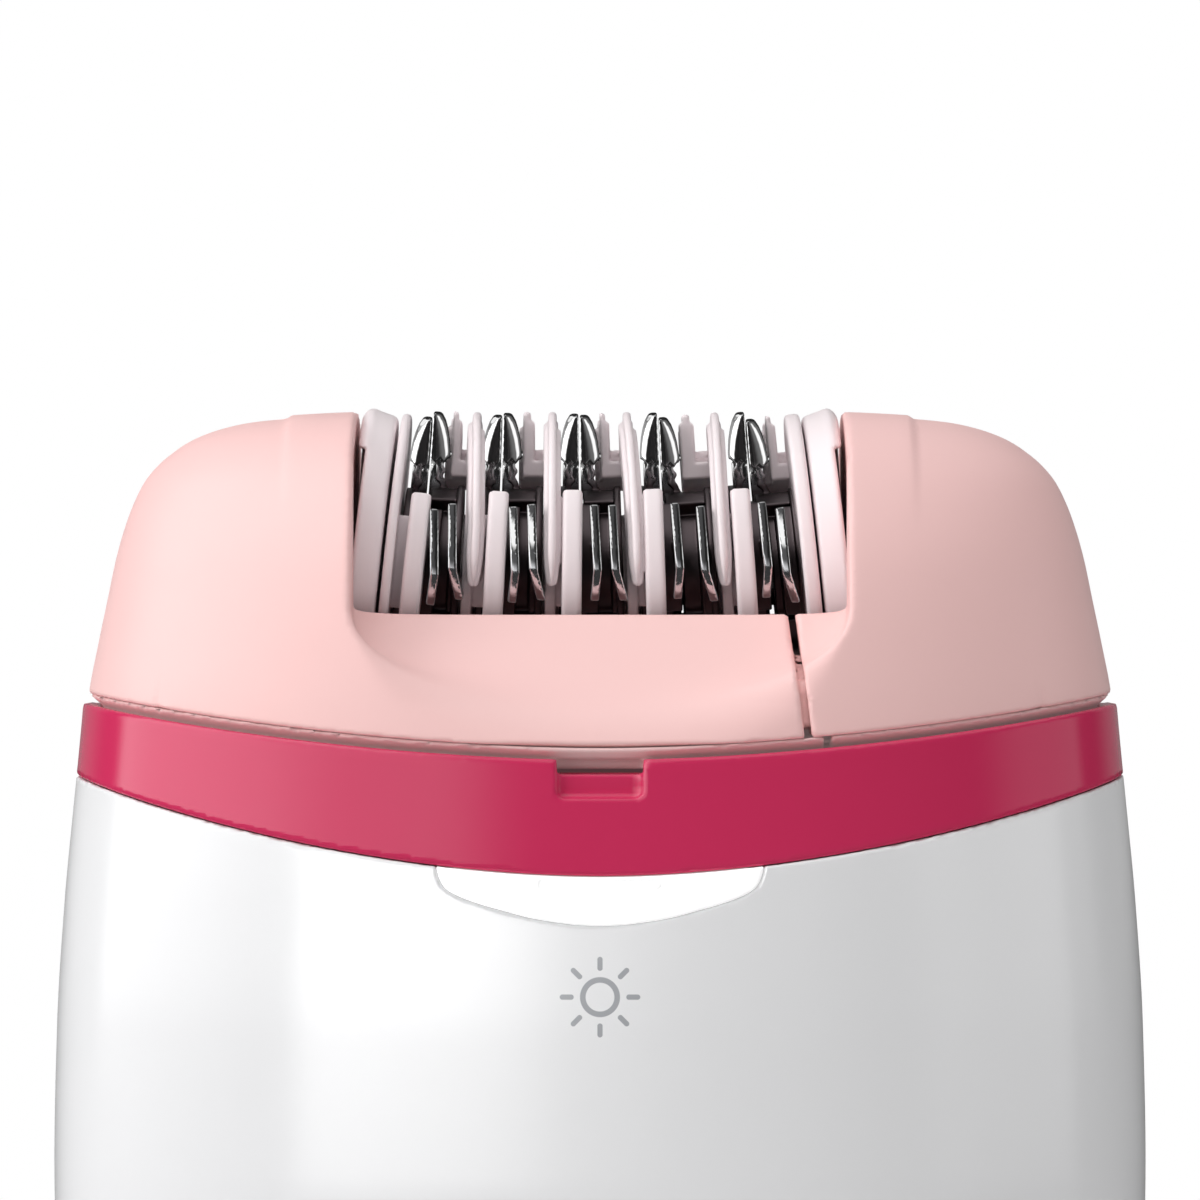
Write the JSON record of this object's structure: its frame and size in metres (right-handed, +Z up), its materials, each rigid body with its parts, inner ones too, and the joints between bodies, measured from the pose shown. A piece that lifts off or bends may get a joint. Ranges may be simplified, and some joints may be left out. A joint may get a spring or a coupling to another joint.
{
  "type": "epilator",
  "caption": "Compact corded epilator: tapered two-shell handle with a collar and lamp, and a lift-off head whose leaning discs carry tweezer jaws.",
  "frame": {"origin": "centre of the flat foot at the bottom of the handle", "axes": "+Z up the handle towards the head, -Y out of the front face with the lamp and slide, +X to the right seen from the front"},
  "size_m": [0.064, 0.038, 0.12],
  "materials": {
    "white_shell": "gloss moulded plastic",
    "pink_head": "satin moulded plastic",
    "head_skirt": "satin moulded plastic",
    "crimson_trim": "translucent-look gloss plastic",
    "drum_plastic": "smooth moulded plastic",
    "clear_lens": "frosted lamp lens",
    "jaw_steel": "polished spring steel",
    "bright_steel": "ground steel pin",
    "steel": "plated steel",
    "brass": "turned brass",
    "winding": "wound armature",
    "gear_plastic": "moulded acetal",
    "frame_plastic": "moulded plastic",
    "black_plastic": "moulded plastic",
    "magnet": "sintered ferrite",
    "board": "circuit board laminate",
    "red_wire": "wire insulation",
    "black_wire": "wire insulation",
    "led_resin": "cast resin"
  },
  "bodies": {
    "handle": {"front_shell": "white_shell", "rear_shell": "white_shell", "shell_screw_left": "steel", "shell_screw_right": "steel", "collar_ring": "crimson_trim", "light_lens": "clear_lens", "led": "led_resin", "led_board": "board", "slide_switch": "steel", "circuit_board": "board", "power_socket": "black_plastic", "socket_pin": "bright_steel", "motor_can": "steel", "motor_end_cap": "black_plastic", "motor_magnet_left": "magnet", "motor_magnet_right": "magnet", "motor_lead_red": "red_wire", "motor_lead_black": "black_wire", "gearbox_frame": "frame_plastic", "drive_bush_inner": "brass", "drive_bush_outer": "brass"},
    "power_slide": {"slide_button": "crimson_trim"},
    "release": {"release_button": "crimson_trim", "release_spring": "steel"},
    "motor_rotor": {"motor_shaft": "bright_steel", "motor_armature": "winding", "motor_pinion": "brass"},
    "drive_shaft_set": {"drive_shaft": "bright_steel", "crown_gear": "gear_plastic", "drive_gear": "gear_plastic"},
    "head": {"head_housing": "pink_head", "head_end_cap": "pink_head", "head_base": "head_skirt", "head_screw_left": "steel", "head_screw_right": "steel", "bearing_left": "brass", "bearing_right": "brass", "idler_pin": "bright_steel", "end_cover_left": "drum_plastic", "end_cover_right": "drum_plastic"},
    "idler": {"idler_gear": "gear_plastic"},
    "drum": {"drum_shaft": "bright_steel", "drum_gear": "gear_plastic"},
    "disc_unit_1": {"disc_1": "drum_plastic", "jaws_right_of_disc_1": "jaw_steel"},
    "disc_unit_2": {"disc_2": "drum_plastic", "jaws_left_of_disc_2": "jaw_steel", "jaws_right_of_disc_2": "jaw_steel"},
    "disc_unit_3": {"disc_3": "drum_plastic", "jaws_left_of_disc_3": "jaw_steel", "jaws_right_of_disc_3": "jaw_steel"},
    "disc_unit_4": {"disc_4": "drum_plastic", "jaws_left_of_disc_4": "jaw_steel", "jaws_right_of_disc_4": "jaw_steel"},
    "disc_unit_5": {"disc_5": "drum_plastic", "jaws_left_of_disc_5": "jaw_steel", "jaws_right_of_disc_5": "jaw_steel"},
    "disc_unit_6": {"disc_6": "drum_plastic", "jaws_left_of_disc_6": "jaw_steel"}
  },
  "joints": [
    {"name": "head_lift", "type": "slide", "parent": "handle", "child": "head", "axis": [0, 0, 1], "range_m": [0, 0.02]},
    {"name": "power_slide", "type": "slide", "parent": "handle", "child": "power_slide", "axis": [0, -0.083, 0.9965], "range_m": [0, 0.007]},
    {"name": "release_press", "type": "slide", "parent": "handle", "child": "release", "axis": [0, -1, 0], "range_m": [0, 0.0015]},
    {"name": "motor_spin", "type": "hinge", "parent": "handle", "child": "motor_rotor", "pos_m": [0, 0, 0.066], "axis": [0, 0, 1], "continuous": true},
    {"name": "drive_spin", "type": "hinge", "parent": "handle", "child": "drive_shaft_set", "pos_m": [0.013, 0, 0.0907], "axis": [1, 0, 0], "continuous": true},
    {"name": "idler_spin", "type": "hinge", "parent": "head", "child": "idler", "pos_m": [0.0175, 0, 0.1003], "axis": [1, 0, 0], "continuous": true},
    {"name": "drum_spin", "type": "hinge", "parent": "head", "child": "drum", "pos_m": [0, 0, 0.1105], "axis": [1, 0, 0], "continuous": true},
    {"name": "disc_1_spin", "type": "hinge", "parent": "head", "child": "disc_unit_1", "pos_m": [-0.01236, 0, 0.1105], "axis": [0.9945, 0, -0.1045], "continuous": true},
    {"name": "disc_2_spin", "type": "hinge", "parent": "head", "child": "disc_unit_2", "pos_m": [-0.00769, 0, 0.1105], "axis": [0.9986, 0, -0.0523], "continuous": true},
    {"name": "disc_3_spin", "type": "hinge", "parent": "head", "child": "disc_unit_3", "pos_m": [-0.00289, 0, 0.1105], "axis": [0.9999, 0, -0.0105], "continuous": true},
    {"name": "disc_4_spin", "type": "hinge", "parent": "head", "child": "disc_unit_4", "pos_m": [0.00185, 0, 0.1105], "axis": [0.9995, 0, 0.0314], "continuous": true},
    {"name": "disc_5_spin", "type": "hinge", "parent": "head", "child": "disc_unit_5", "pos_m": [0.00732, 0, 0.1105], "axis": [0.9978, 0, 0.0663], "continuous": true},
    {"name": "disc_6_spin", "type": "hinge", "parent": "head", "child": "disc_unit_6", "pos_m": [0.01244, 0, 0.1105], "axis": [0.9949, 0, 0.1011], "continuous": true}
  ],
  "couplings": [
    {"joint": "drive_spin", "follows": "motor_spin", "ratio": 0.33333},
    {"joint": "drum_spin", "follows": "motor_spin", "ratio": 0.3},
    {"joint": "idler_spin", "follows": "motor_spin", "ratio": -0.42857},
    {"joint": "disc_1_spin", "follows": "motor_spin", "ratio": 0.3},
    {"joint": "disc_2_spin", "follows": "motor_spin", "ratio": 0.3},
    {"joint": "disc_3_spin", "follows": "motor_spin", "ratio": 0.3},
    {"joint": "disc_4_spin", "follows": "motor_spin", "ratio": 0.3},
    {"joint": "disc_5_spin", "follows": "motor_spin", "ratio": 0.3},
    {"joint": "disc_6_spin", "follows": "motor_spin", "ratio": 0.3}
  ]
}
